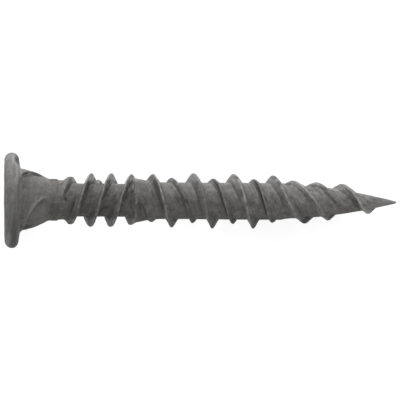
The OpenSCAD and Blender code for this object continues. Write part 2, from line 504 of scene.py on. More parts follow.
class ShapeSheet(NodeSheet):
    """A Geometry Nodes tree that turns a drawn line or mesh into a shape."""

    def __init__(self, name: str) -> None:
        """Args:
            name: Name of the tree.
        """
        super().__init__(bpy.data.node_groups.new(name, "GeometryNodeTree"))
        self.tree.interface.new_socket("Line", in_out="INPUT", socket_type="NodeSocketGeometry")
        self.tree.interface.new_socket("Shape", in_out="OUTPUT", socket_type="NodeSocketGeometry")
        self.entry = self.tree.nodes.new("NodeGroupInput")
        self.exit = self.tree.nodes.new("NodeGroupOutput")
        self.sizes: dict[str, float] = {}

    @property
    def line(self) -> bpy.types.NodeSocket:
        """Output that holds the drawn line or mesh."""
        return self.entry.outputs[0]

    def size(self, name: str, value: float) -> Field:
        """Adds a named input.

        Args:
            name: Its name, in plain words.
            value: Its value, set on the modifier.

        Returns:
            The input as a field.
        """
        kind = "NodeSocketInt" if isinstance(value, int) else "NodeSocketFloat"
        socket = self.tree.interface.new_socket(name, in_out="INPUT", socket_type=kind)
        self.sizes[socket.identifier] = value
        return Field(self, next(o for o in self.entry.outputs if o.identifier == socket.identifier))

    def net(self, rings: Field) -> Net:
        """Grid with one column for each point of the line.

        Args:
            rings: Number of rows.

        Returns:
            The grid and what is known of its points.
        """
        domain = self.add("GeometryNodeAttributeDomainSize", {"component": "MESH"}, {0: self.line})
        count = Field(self, domain.outputs["Point Count"])
        grid = self.add("GeometryNodeMeshGrid", sockets={0: 1.0, 1: 1.0, 2: rings, 3: count})
        index = Field(self, self.add("GeometryNodeInputIndex").outputs[0])
        ring = self.math("FLOOR", (index + 0.5) / count)
        position = self.add("GeometryNodeInputPosition").outputs[0]
        sample = self.add(
            "GeometryNodeSampleIndex",
            {"data_type": "FLOAT_VECTOR", "domain": "POINT"},
            {0: self.line, 1: position, 2: index - ring * count},
        )
        return Net(grid.outputs[0], ring, *self.split(Field(self, sample.outputs[0])))

    def keep(self, geometry: bpy.types.NodeSocket, name: str, value: Field) -> bpy.types.NodeSocket:
        """Geometry with a number stored at its points.

        Args:
            geometry: Geometry before.
            name: Name of the attribute.
            value: Number that is stored.

        Returns:
            Geometry with the attribute.
        """
        return self.add(
            "GeometryNodeStoreNamedAttribute",
            {"data_type": "FLOAT", "domain": "POINT"},
            {0: geometry, "Name": name, "Value": value},
        ).outputs[0]

    def move(self, geometry: bpy.types.NodeSocket, place: Field) -> bpy.types.NodeSocket:
        """Geometry with its points at the given place."""
        return self.add("GeometryNodeSetPosition", sockets={0: geometry, "Position": place}).outputs[0]

    def weld(self, geometry: bpy.types.NodeSocket) -> bpy.types.NodeSocket:
        """Geometry with its seams and poles closed."""
        weld = self.add("GeometryNodeMergeByDistance", sockets={0: geometry, "Distance": WELD_REACH})
        return weld.outputs[0]

    def end(self, geometry: bpy.types.NodeSocket, material: bpy.types.Material) -> None:
        """Dresses the geometry and ends the tree.

        Args:
            geometry: Geometry that the tree gives.
            material: Its material.
        """
        real = self.add("GeometryNodeRealizeInstances", sockets={0: geometry})
        dressed = self.add("GeometryNodeSetMaterial", sockets={0: real.outputs[0], "Material": material})
        self.tree.links.new(dressed.outputs[0], self.exit.inputs[0])

    def shape(
        self,
        name: str,
        drawn: bpy.types.Mesh,
        more: Callable[[bpy.types.Object], None] | None = None,
    ) -> bpy.types.Object:
        """Runs the tree and makes its result a plain mesh.

        Args:
            name: Name of the object.
            drawn: Line or mesh that the tree starts from.
            more: Adds further modifiers behind the tree.

        Returns:
            Object with the finished mesh and no modifiers.
        """
        piece = put(name, drawn)
        modifier = piece.modifiers.new(self.tree.name, "NODES")
        modifier.node_group = self.tree
        for identifier, value in self.sizes.items():
            modifier[identifier] = value
        if more:
            more(piece)
        graph = bpy.context.evaluated_depsgraph_get()
        mesh = bpy.data.meshes.new_from_object(piece.evaluated_get(graph), depsgraph=graph)
        piece.modifiers.clear()
        piece.data = mesh
        mesh.name = name
        turn_outwards(mesh)
        return piece


def put(name: str, data: bpy.types.ID) -> bpy.types.Object:
    """Adds an object to the scene.

    Args:
        name: Its name.
        data: Its mesh, camera or light.

    Returns:
        The new object.
    """
    thing = bpy.data.objects.new(name, data)
    bpy.context.scene.collection.objects.link(thing)
    return thing


def emptied(holder: bpy.types.Material | bpy.types.World) -> NodeSheet:
    """Node tree of a material or world, with nothing in it yet.

    Args:
        holder: Material or world that owns the tree.

    Returns:
        The tree.
    """
    holder.use_nodes = True
    holder.node_tree.nodes.clear()
    return NodeSheet(holder.node_tree)


def turn_outwards(mesh: bpy.types.Mesh) -> None:
    """Makes the faces of one closed shell point outwards.

    Args:
        mesh: Mesh that is changed.
    """
    shell = bmesh.new()
    shell.from_mesh(mesh)
    if shell.calc_volume(signed=True) < 0:
        bmesh.ops.reverse_faces(shell, faces=shell.faces[:])
    shell.to_mesh(mesh)
    shell.free()


def drawn_line(name: str, points: Sequence[Triple]) -> bpy.types.Mesh:
    """Mesh that holds a line of points.

    Args:
        name: Name of the mesh.
        points: The points, in order.

    Returns:
        The mesh, with edges only.
    """
    mesh = bpy.data.meshes.new(name)
    mesh.from_pydata([tuple(p) for p in points], [(i, i + 1) for i in range(len(points) - 1)], [])
    return mesh


def steps(start: float, end: float, pace: float) -> list[float]:
    """Even steps after start, up to and with end.

    Args:
        start: Number that isn't in the list itself.
        end: Last number of the list.
        pace: Longest step.

    Returns:
        The numbers.
    """
    count = max(1, math.ceil(abs(end - start) / pace))
    return [start + (end - start) * i / count for i in range(1, count + 1)]


@dataclass
class DriveRecess:
    """Cross recess in the face of the head, in millimetres."""

    mouth_r: float = 2.35
    depth: float = 2.1
    wing_half: float = 0.475
    wing_draft: float = 0.1
    wing_taper: float = 26.5
    core_r: float = 1.3
    core_draft: float = 0.1
    pit_depth: float = 0.61
    flare: float = 0.07
    wing_turn: float = 45.0
    wing_corner: float = 0.16
    wing_least: float = 0.02
    start_above: float = 0.3
    levels: tuple[float, ...] = (0.5, 1.0, 1.5)

    def outline(self, depth: float) -> list[Pair]:
        """Outline of the recess at a depth, going once round.

        Args:
            depth: Distance below the face of the head.

        Returns:
            Points across the axis.
        """
        opened = self.flare * (1 - share(depth, 0, self.flare))
        reach = self.mouth_r + opened - max(depth, 0) * math.tan(math.radians(self.wing_taper))
        half = self.wing_half + opened - self.wing_draft * share(depth, 0, self.depth)
        core = self.core_r + opened - self.core_draft * share(depth, 0, self.depth)
        foot = math.degrees(math.asin(half / core))
        corner = self.wing_corner
        end = max(reach, core + self.wing_least) - corner
        between = [foot - 90 + 2 * (45 - foot) * k / 4 for k in (1, 2, 3)]
        wing = [(core * cosine(a), core * sine(a)) for a in between]
        wing += [(core * cosine(foot), -half)]
        wing += [(end + corner * sine(a), -half + corner * (1 - cosine(a))) for a in (0, 30, 60, 90)]
        wing += [(x, -y) for x, y in reversed(wing[3:])]
        turned = []
        for quarter in range(4):
            c, s = cosine(90 * quarter + self.wing_turn), sine(90 * quarter + self.wing_turn)
            turned += [(x * c - y * s, x * s + y * c) for x, y in wing]
        return turned

    def cutter(self) -> bpy.types.Object:
        """Closed solid that the recess is cut with, out of the render's sight.

        Returns:
            Its object.
        """
        depths = [-self.start_above, 0.0, self.flare / 2, self.flare, *self.levels, self.depth]
        shell = bmesh.new()
        rings = [
            [shell.verts.new(REST.point(depth, side, up)) for up, side in self.outline(depth)]
            for depth in depths
        ]
        for near, far in zip(rings, rings[1:]):
            for i, vert in enumerate(near):
                shell.faces.new((vert, near[i - 1], far[i - 1], far[i]))
        shell.faces.new(rings[0])
        pit = shell.verts.new(REST.point(self.depth + self.pit_depth))
        for i, vert in enumerate(rings[-1]):
            shell.faces.new((vert, rings[-1][i - 1], pit))
        bmesh.ops.recalc_face_normals(shell, faces=shell.faces[:])
        mesh = bpy.data.meshes.new("recess_cutter")
        shell.to_mesh(mesh)
        shell.free()
        return put("recess_cutter", mesh)


@dataclass
class TurnedBody:
    """Head, neck with its cutting nibs, shank, bands and core, in millimetres and degrees.

    The paces are the longest steps between two points of the outline. The foot's last points hold the
    distance from the neck's start, the further radius and the height of the nibs. The nib's edge and hollow
    and the rib's top are shares of the angle of a nib's face.
    """

    profile: Profile = PROFILE
    recess: DriveRecess = field(default_factory=DriveRecess)
    turn_steps: int = 240
    nibs: int = 4
    nib_h: float = 0.28
    nib_end: float = 3.62
    nib_twist: float = 76.0
    nib_bend: float = 1.7
    nib_spread: float = 0.2
    # Nib edges are painted lighter (thinned coating and painted highlight); nib hollows darker (painted
    # shade).
    nib_worn: float = 0.11
    nib_hollow_shade: float = 0.14
    nib_face: float = 11.0
    nib_crest: float = 30.0
    rib_h: float = 0.07
    rib_w: float = 30.0
    rib_least: float = 0.25
    rib_top: float = 0.9
    nib_slope_end: float = 87.3
    nib_start: float = 183.0
    nib_hollow: Triple = (0.25, 0.85, 1.1)
    nib_edge: float = 0.7
    nib_stands: Pair = (0.02, 0.12)
    fillet: float = 0.26
    fillet_h: float = 0.6
    foot_w: float = 0.1
    foot_h: float = 0.1
    foot_end: tuple[Triple, ...] = ((-0.07, 0.04, 0.02), (-0.03, -0.01, 0.05))
    tip_round: float = 0.03
    head_shift: float = -0.065
    head_shift_h: float = 0.2
    face_shift: float = 0.042
    face_skew: float = -0.009
    face_pace: float = 0.27
    rim_pace: float = 9.0
    nib_pace: float = 0.09
    neck_pace: float = 0.12
    slope_pace: float = 0.05
    thread_paces: tuple[float, ...] = (0.12, 0.12, 0.15, 0.07, 0.12, 0.14, 0.2, 0.2)

    def line(self) -> list[Triple]:
        """Half outline from the middle of the head's face to the point.

        Returns:
            Distance, radius between the nibs and height of the nibs there, point by point.
        """
        p = self.profile
        under_r = p.head_r - p.rim_r
        rim_h = 2 * p.rim_r
        foot_r = p.neck_r + self.foot_w
        points = [(0.0, r, 0.0) for r in [0.0, *steps(0, under_r, self.face_pace)]]
        for turn in steps(-90, 90, self.rim_pace):
            points.append((p.rim_r + p.rim_r * sine(turn), under_r + p.rim_r * cosine(turn), 0.0))
        for k in (1, 2, 3):
            points.append((rim_h + self.foot_h * k / 3, under_r + (foot_r - under_r) * k / 3, 0.0))
        for along, further, height in self.foot_end:
            points.append((p.neck_start + along, p.neck_r + further, height))
        for along in [p.neck_start, *steps(p.neck_start, self.nib_end, self.nib_pace)]:
            height = self.nib_h * (1 - share(along, p.neck_start, self.nib_end) ** 2)
            height -= self.fillet * (1 - share(along, p.neck_start, p.neck_start + self.fillet_h)) ** 2
            points.append((along, p.neck_over(along) - height, height))
        for along in steps(self.nib_end, p.neck_end, self.neck_pace):
            points.append((along, p.neck_over(along), 0.0))
        for along in steps(p.neck_end, p.collar_end, self.neck_pace):
            points.append((along, p.collar_r, 0.0))
        slope_end = p.collar_end + p.collar_slope_h
        for along in steps(p.collar_end, slope_end, self.slope_pace):
            fallen = soft(along, p.collar_end, slope_end)
            points.append((along, p.collar_r + (p.shank_r - p.collar_r) * fallen, 0.0))
        ends = (p.upper_start, p.upper_start + p.run_in, p.upper_end - p.run_out, p.upper_end)
        ends += (p.band_end, p.core_start, p.point_start, p.length)
        for end, pace in zip(ends, self.thread_paces):
            points += [(along, p.floor_at(along), 0.0) for along in steps(points[-1][0], end, pace)]
        tip_r = p.tip_r + p.fuller(p.length)
        tip_start = p.length - self.tip_round
        points[-1] = (tip_start, tip_r, 0.0)
        for turn in (30, 60, 90):
            points.append((tip_start + self.tip_round * sine(turn), tip_r * cosine(turn), 0.0))
        return points

    def build(self, material: bpy.types.Material) -> bpy.types.Object:
        """Carries the outline round the axis, lifts the nibs and cuts the recess.

        Args:
            material: Finish of the body.

        Returns:
            The finished body.
        """
        sheet = ShapeSheet("turned_body")
        rings = sheet.size("Turn Steps", self.turn_steps + 1)
        pitch = sheet.size("Nib Pitch", 360.0 / self.nibs)
        face = sheet.size("Nib Face", self.nib_face)
        crest = sheet.size("Nib Crest", self.nib_crest)
        slope_end = sheet.size("Nib Slope End", self.nib_slope_end)
        twist = sheet.size("Nib Twist", self.nib_twist)
        start = sheet.size("Neck Start", self.profile.neck_start)
        end = sheet.size("Nib End", self.nib_end)
        net = sheet.net(rings)
        row_angle = net.ring * 360.0 / (rings - 1)
        back = sheet.math("FLOORED_MODULO", self.nib_start - row_angle, pitch)
        left = sheet.share(net.first, end, start)
        lift = sheet.share(back, 0.0, face) * soft(back, slope_end, face + crest)
        rib_w = sheet.size("Rib Width", self.rib_w) * (self.rib_least + (1 - self.rib_least) * left)
        rib = sheet.share(back, 0.0, face) * soft(back, face + rib_w, face * self.rib_top)
        spread = sheet.size("Nib Spread", self.nib_spread)
        uneven = 1 - spread + spread * cosine(2 * (row_angle - self.nib_start))
        radius = net.second + net.third * (lift + rib * self.rib_h / self.nib_h)
        angle = row_angle + twist * uneven * left**self.nib_bend
        askew = self.face_shift + self.face_skew * radius * sine(angle)
        rim_r = self.profile.rim_r
        along = net.first + askew * soft(net.first, 2 * rim_r, rim_r)
        shift_end = self.profile.neck_start + self.head_shift_h
        side = sheet.size("Head Shift", self.head_shift) * soft(net.first, shift_end, 2 * rim_r)
        # Lighter nib edges: thinned coating and painted highlight. Darker nib hollows: painted shade.
        edge = sheet.share(back, face * self.nib_edge, face) * soft(back, face + rib_w, face)
        deep, shallow, over = self.nib_hollow
        hollow = sheet.share(back, 0.0, face * deep) * sheet.share(back, face * over, face * shallow)
        stands = sheet.share(net.third, *self.nib_stands)
        wear = stands * (self.nib_worn * edge - self.nib_hollow_shade * hollow)
        placed = sheet.move(sheet.keep(net.mesh, "wear", wear), REST.lay(sheet, radius, angle, along, side))
        sheet.end(sheet.weld(placed), material)
        tool = self.recess.cutter()

        def cut(piece: bpy.types.Object) -> None:
            """Adds the cut of the recess behind the tree.

            Args:
                piece: Object that is cut.
            """
            modifier = piece.modifiers.new("recess", "BOOLEAN")
            modifier.operation = "DIFFERENCE"
            modifier.solver = "EXACT"
            modifier.object = tool

        piece = sheet.shape("turned_body", drawn_line("turned_body_line", self.line()), cut)
        bpy.data.objects.remove(tool)
        return piece


@dataclass(frozen=True)
class RidgePath:
    """What a ridge does along its length, in millimetres and degrees.

    Attributes:
        place: Distance of its crest from the face of the head.
        angle: Angle of its crest round the axis.
        height: Height of its crest over the core that it stands on.
        belly: Fullness of its flanks, 0 for straight ones.
        width: Share of its usual width that its foot has.
    """

    place: Field
    angle: Field
    height: Field
    belly: Field
    width: Amount = 1.0


@dataclass(frozen=True)
class Quirk:
    """How the photographed ridge differs from its rule at one place.

    Attributes:
        station: Distance along the axis that counts the ridge's turns, in millimetres.
        shift: Distance of its crest from the rule's, away from the head, in millimetres.
        lift: Further height of its crest in millimetres.
        girth: Further width as a share of the rule's.
        worn: Further lightening of its crest, thinned coating and painted highlight.
        flank_shade: Further painted shade on the flank beside its crest, painted light where below 0.
    """

    station: float
    shift: float = 0.0
    lift: float = 0.0
    girth: float = 0.0
    worn: float = 0.0
    flank_shade: float = 0.0


@dataclass(frozen=True)
class Waver:
    """Unevenness along a ridge.

    Attributes:
        depth: How far it goes either way, mostly.
        size: Length of its waves in millimetres.
        seed: Fixed number that sets its pattern, added to the ridge's own.
    """

    depth: float
    size: float
    seed: float


@dataclass
class Ridge:
    """One ridge of a thread, which its tree carries along its path, in millimetres.

    The numbers of its section are half widths and shares of its height. The spans are the largest quirks
    that can be set.
    """

    name: str = "ridge"
    first: float = 0.0
    last: float = 1.0
    lead: float = 3.0
    base_w: float = 1.0
    top_w: float = 0.14
    steps_a_turn: int = 96
    foot_curve: Triple = (1.03, 0.9, 0.76)
    foot_sunk: float = 0.008
    flank: tuple[float, ...] = (0.62, 0.48, 0.36, 0.26)
    crown: tuple[Pair, ...] = ((1.25, 0.925), (0.7, 0.975), (0.3, 0.995))
    skirt: float = 1.1
    keel: float = 1.5
    sink: float = 0.12
    buried: float = 0.05
    chip: Waver = Waver(0.012, 0.28, 6.0)
    lifting: Waver = Waver(0.015, 0.8, 1.0)
    shifting: Waver = Waver(0.025, 1.1, 2.0)
    widening: Waver = Waver(0.08, 0.9, 3.0)
    bulging: Waver = Waver(0.2, 1.0, 4.0)
    waver_r: float = 2.0
    belly: float = 0.15
    lean: float = 0.0
    lobe: float = 0.03
    lobe_turn: Pair = (0.0, 0.6)
    lobe_rise: Pair = (0.1, 0.3)
    seed: float = 1.0
    # Lightening of the crest: thinned coating and painted highlight.
    worn: float = 0.26
    worn_rise: Pair = (0.82, 0.99)
    worn_from: Pair = (0.0, 0.15)
    # Painted shade on the flank on the head's side, where the light doesn't reach; below 0 it is painted
    # light.
    flank_shade: float = 0.0
    shaded_flank: Pair = (-0.6, -0.06)
    shaded_flank_soft: Pair = (0.25, 0.12)
    quirks: tuple[Quirk, ...] = ()
    spans: Quirk = Quirk(0.0, 0.3, 0.3, 0.6, 1.0, 1.0)
    profile: Profile = PROFILE

    def quirk(self, sheet: ShapeSheet, station: Field, name: str) -> Field:
        """One of the ridge's own departures from its rule at a station.

        Args:
            sheet: Tree that works it out.
            station: Distance along the axis that counts its turns.
            name: Name of the quirk's field that is read.

        Returns:
            The departure, which runs out at both ends of the ridge.
        """
        start, end = sorted((self.first, self.last))
        inner = [(q.station, getattr(q, name)) for q in self.quirks]
        return sheet.curve(station, [(start, 0.0), *inner, (end, 0.0)], getattr(self.spans, name))

    def section(self) -> list[Triple]:
        """Closed outline across the ridge.

        Returns:
            Place in half widths, share of the height and depth below the floor, point by point.
        """
        crest = self.top_w / self.base_w
        foot, middle, end = self.foot_curve
        flank = []
        for s in (0.0, 0.2, 0.4, 0.6, 0.8, 1.0):
            across = foot * (1 - s) ** 2 + 2 * middle * s * (1 - s) + end * s * s
            flank.append((across, (1 - end) / (1 - 0.5 * crest) * s * s, self.foot_sunk * (1 - s)))
        flank += [(across, (1 - across) / (1 - 0.5 * crest), 0.0) for across in self.flank]
        flank += [(crest * across, rise, 0.0) for across, rise in self.crown]
        far = [(-across, rise, sunk) for across, rise, sunk in flank]
        near = [(0.0, 1.0, 0.0), *reversed(flank), (self.skirt, 0.0, self.sink)]
        start = (-self.skirt, 0.0, self.sink)
        return [start, *far, *near, (0.0, 0.0, self.sink * self.keel), start]

    def path(self, sheet: ShapeSheet, station: Field) -> RidgePath:
        """What the ridge does at a station of its length.

        Args:
            sheet: Tree that works it out.
            station: Distance along the axis that counts its turns.

        Returns:
            The fields of its path.
        """
        raise NotImplementedError

    def build(self, material: bpy.types.Material) -> bpy.types.Object:
        """Carries the section along the ridge's path.

        Args:
            material: Finish of the ridge.

        Returns:
            The finished ridge, closed at both ends below the surface.
        """
        sheet = ShapeSheet(self.name)
        turns = abs(self.last - self.first) / self.lead
        rings = sheet.size("Rings", math.ceil(turns * self.steps_a_turn) + 1)
        first = sheet.size("First Station", self.first)
        last = sheet.size("Last Station", self.last)
        net = sheet.net(rings)
        station = first + (last - first) * (net.ring / (rings - 1))
        path = self.path(sheet, station)
        girth = 1 + self.waver(sheet, path.angle, station, self.widening)
        girth = girth + self.quirk(sheet, station, "girth")
        width = sheet.size("Base Width", self.base_w) * path.width * girth
        lean = sheet.size("Lean", self.lean) * sheet.math("MAXIMUM", -cosine(path.angle), 0.0)
        ends = sheet.share(net.ring, 0, 1) * sheet.share(rings - 1 - net.ring, 0, 1)
        along = path.place + (net.first * width / 2 - lean * (1 - net.second)) * ends
        rise = (net.second + path.belly * net.second * (1 - net.second)) * ends
        floor = self.profile.floor_at(along)
        chip = self.waver(sheet, path.angle, path.place, self.chip)
        between = sheet.math("ABSOLUTE", cosine(path.angle))
        lobe = sheet.size("Lobe", self.lobe) * soft(between, *self.lobe_turn)
        lobe = lobe * sheet.share(path.height, *self.lobe_rise)
        crest = self.profile.floor_at(path.place) + path.height + chip - lobe
        radius = floor + (crest - floor) * rise - net.third * ends - self.sink * (1 - ends)
        # Lighter crest: thinned coating and painted highlight. Darker flank on the head's side: painted
        # shade.
        lower, upper = self.shaded_flank
        fade_in, fade_out = self.shaded_flank_soft
        shaded_flank = sheet.share(net.first, upper, upper - fade_out)
        shaded_flank = shaded_flank * sheet.share(net.first, lower - fade_in, lower)
        worn = (self.worn + self.quirk(sheet, station, "worn")) * soft(net.second, *self.worn_rise)
        flank_shade = (self.flank_shade + self.quirk(sheet, station, "flank_shade")) * shaded_flank
        stands = sheet.share(path.height, *self.worn_from)
        kept = sheet.keep(net.mesh, "wear", stands * (worn - flank_shade))
        placed = sheet.move(kept, REST.lay(sheet, radius, path.angle, along))
        sheet.end(sheet.weld(placed), material)
        return sheet.shape(self.name, drawn_line(self.name + "_line", self.section()))

    def waver(self, sheet: ShapeSheet, angle: Field, place: Field, kind: Waver) -> Field:
        """Unevenness along a crest.

        Args:
            sheet: Tree that works it out.
            angle: Angle round the axis.
            place: Distance from the face of the head.
            kind: Its depth, size and pattern.

        Returns:
            A number that stays mostly within the depth, either way.
        """
        spot = sheet.combine(self.waver_r * cosine(angle), self.waver_r * sine(angle), place)
        return kind.depth * sheet.swing(spot, kind.size, self.seed + kind.seed)


@dataclass
class UpperRidge(Ridge):
    """One of the two ridges of the upper thread, which turns left-handed."""

    first: float = 10.95
    last: float = 4.35
    lead: float = 3.27
    base_w: float = 1.0
    top_w: float = 0.26
    lobe: float = 0.1
    crest_first: float = 5.38
    outer_r: float = 2.17
    rise_start: float = 4.2
    rise_end: float = 6.65
    fall_h: float = 1.2
    fall: float = 0.12
    worn_h: float = 0.55
    lean: float = 0.04
    late_h: float = 0.5
    start_turn: float = 0.0
    hand: Hand = Hand.LEFT

    def path(self, sheet: ShapeSheet, station: Field) -> RidgePath:
        """What the ridge does at a station of its length.

        Args:
            sheet: Tree that works it out.
            station: Distance along the axis that counts its turns.

        Returns:
            The fields of its path.
        """
        p = self.profile
        lead = sheet.size("Lead", self.lead)
        angle = 90.0 + self.start_turn + self.hand.value * 360.0 * (station - self.crest_first) / lead
        outer = sheet.size("Crest Radius", self.outer_r)
        crest = p.shank_r + (outer - p.shank_r) * soft(station, self.rise_start, self.rise_end)
        crest = crest - self.fall * soft(station, p.upper_end - self.fall_h, p.upper_end)
        crest = crest + self.waver(sheet, angle, station, self.lifting) + self.quirk(sheet, station, "lift")
        place = station + self.waver(sheet, angle, station, self.shifting)
        place = place + self.quirk(sheet, station, "shift")
        belly = self.belly + self.waver(sheet, angle, station, self.bulging)
        gone = soft(station, self.first - self.worn_h, self.first)
        gone = gone + soft(station, self.rise_start + self.late_h, self.last)
        height = (crest - p.floor_at(place)) * (1 - gone) - self.buried * gone
        return RidgePath(place, angle, height, belly)


@dataclass
class LowerRidge(Ridge):
    """A ridge of the lower thread, which turns right-handed and runs askew on the point.

    Where it is stretched, skewed, straight again, gained, low and wide is given in shares of the point's
    length.
    """

    lead: float = 3.29
    top_w: float = 0.12
    crest_first: float = 12.09
    lag: float = 0.0
    outer_r: float = 2.2
    rise_h: float = 1.0
    left: float = 1.0
    gain: float = 0.0
    fade_h: float = 1.0
    stretch: float = 1.0
    skew: float = 1.1
    widen: float = 0.5
    lean: float = 0.12
    bow: float = 0.06
    lifting: Waver = Waver(0.03, 0.8, 1.0)
    shifting: Waver = Waver(0.02, 1.1, 2.0)
    bulging: Waver = Waver(0.15, 1.0, 4.0)
    belly: float = 0.2
    upper_belly: float = 0.3
    start_h: float = 0.3
    stretched: Pair = (0.305, 0.665)
    skewed: Pair = (-0.05, 0.26)
    straight: Pair = (0.335, 0.685)
    gained: Pair = (0.18, 0.675)
    low_from: float = -0.19
    wide_at: float = 0.42
    spans: Quirk = Quirk(0.0, 0.4, 0.3, 0.6, 1.0, 1.0)
    hand: Hand = Hand.RIGHT

    def over_point(self, station: Field, parts: Pair) -> Field:
        """Soft share of the way between two places given as shares of the point's length."""
        return soft(station, *map(self.profile.on_point, parts))

    def path(self, sheet: ShapeSheet, station: Field) -> RidgePath:
        """What the ridge does at a station of its length.

        Args:
            sheet: Tree that works it out.
            station: Distance along the axis that counts its turns.

        Returns:
            The fields of its path.
        """
        p = self.profile
        turns = (station - self.crest_first) / sheet.size("Lead", self.lead) - self.lag
        turn = self.hand.value * 360.0 * turns
        angle = 90.0 + turn
        ahead = self.stretch * self.over_point(station, self.stretched)
        askew = self.skew * self.over_point(station, self.skewed)
        askew = askew * (1 - self.over_point(station, self.straight))
        place = station + ahead + askew * (1 - cosine(turn)) / 2 + self.quirk(sheet, station, "shift")
        place = place + self.waver(sheet, angle, station, self.shifting)
        place = place + sheet.size("Bow", self.bow) * sheet.math("MAXIMUM", -cosine(angle), 0.0)
        outer = sheet.size("Crest Radius", self.outer_r)
        height = (outer - p.core_r) * soft(station, self.crest_first - self.rise_h, self.crest_first)
        height = height * (1 - (1 - self.left) * share(station, p.on_point(self.low_from), self.last))
        height = height + self.gain * sine(180 * share(station, *map(p.on_point, self.gained)))
        height = height * (1 + self.waver(sheet, angle, station, self.lifting))
        height = height + self.quirk(sheet, station, "lift")
        gone = soft(station, self.last - self.fade_h, self.last)
        gone = gone + soft(station, self.first + self.start_h, self.first)
        height = height * (1 - gone) - self.buried * gone
        width = 1 + self.widen * soft(station, p.point_start, p.on_point(self.wide_at))
        belly = self.belly + self.upper_belly * cosine(turn)
        belly = belly + self.waver(sheet, angle, station, self.bulging)
        return RidgePath(place, angle, height, belly, width)


@dataclass
class Threads:
    """The four ridges of the two threads."""

    ridges: tuple[Ridge, ...] = (
        UpperRidge(
            name="upper_ridge_a", seed=3.0,
            quirks=(
                Quirk(5.38, -0.07, 0.02), Quirk(7.02, 0, 0, -0.26), Quirk(8.65, 0, 0.02, -0.5),
                Quirk(10.29, 0, -0.08, -0.3),
            ),
        ),
        UpperRidge(
            name="upper_ridge_b", seed=9.0, start_turn=180.0,
            quirks=(
                Quirk(5.38, 0, 0.11, -0.14), Quirk(7.02, 0.02, 0.02, -0.54), Quirk(8.65, 0, 0, -0.26),
                Quirk(10.29, 0, 0.06, -0.56),
            ),
        ),
        LowerRidge(
            name="high_ridge", seed=14.0, first=11.05, last=26.85, base_w=0.97, left=0.32,
            worn=0.42, bow=0.17, fade_h=1.2,
            quirks=(
                Quirk(12.09, -0.05, -0.12, -0.14, 0.2, 0.4), Quirk(12.91, -0.15, -0.08, -0.16, 0.3, 0.4),
                Quirk(13.73, -0.17, -0.03, -0.2, 0.2, 0.4), Quirk(15.38, -0.07, 0.04, -0.1, -0.3),
                Quirk(17.02, -0.16, 0.04, -0.2, -0.3, -0.1), Quirk(18.67, -0.09, 0.02, 0.03, 0, -0.2),
                Quirk(20.32, -0.15, 0.02, -0.26, 0.1), Quirk(21.96, -0.17, 0.03, 0.04, -0.2, -0.1),
                Quirk(22.8, -0.06, -0.01, -0.05), Quirk(23.61, 0.02, -0.05, -0.1, -0.2),
                Quirk(24.5, 0.02, -0.02, 0.05, -0.6), Quirk(25.25, 0, -0.02, 0.06, -0.45, -0.15),
                Quirk(26.6, 0, 0, 0, -0.4, -0.15),
            ),
        ),
        LowerRidge(
            name="low_ridge", seed=21.0, first=11.05, last=28.85, base_w=0.7, lag=0.47, outer_r=1.8,
            rise_h=1.1, gain=0.18, fade_h=0.3, lean=-0.05, worn=0.2, flank_shade=0.5, shaded_flank=(-0.42, -0.02),
            quirks=(
                Quirk(11.99, -0.04, -0.11, -0.1, 0.1), Quirk(13.64, -0.08, 0.06, -0.25, -0.2, -0.3),
                Quirk(14.46, 0.14, 0.04, -0.1, -0.2, -0.2), Quirk(15.28, -0.01, 0.02, -0.45, -0.1, -0.1),
                Quirk(16.93, 0.01, 0.02, 0.08, -0.2, 0.2), Quirk(17.75, 0.02, 0.02, 0, 0, 0.3),
                Quirk(18.57, -0.04, 0.04, -0.42, 0.2, 0.3), Quirk(20.22, -0.01, 0, -0.08, -0.2, 0.4),
                Quirk(21.0, -0.03, 0, 0, 0, 0.5), Quirk(21.86, -0.14, -0.06, -0.56, 0.1, 0.1),
                Quirk(23.3, -0.15, -0.02, 0.38, 0.2, -0.45), Quirk(24.33, 0.28, -0.04, 0.2, 0.25, -0.5),
                Quirk(25.15, -0.02, -0.06, 0.08, 0.2, -0.5), Quirk(26.8, 0.12, 0.02, 0.32, 0.1, -0.4),
                Quirk(28.44, 0.06, 0.02, -0.05, 0.2, -0.5),
            ),
        ),
    )

    def build(self, material: bpy.types.Material) -> list[bpy.types.Object]:
        """Builds the ridges one by one.

        Args:
            material: Finish of the ridges.

        Returns:
            The finished ridges.
        """
        return [ridge.build(material) for ridge in self.ridges]


@dataclass(frozen=True)
class Knock:
    """A dent or lump that the photographed screw has.

    Attributes:
        along: Its distance from the face of the head in millimetres.
        angle: Its angle round the axis in degrees.
        reach: Half of its length along the axis in millimetres.
        girth: Half of its width round the axis in millimetres.
        depth: Its depth or height in millimetres.
        mark: Whether it is a dent or a lump.
    """

    along: float
    angle: float
    reach: float
    girth: float
    depth: float
    mark: Mark = Mark.DENT


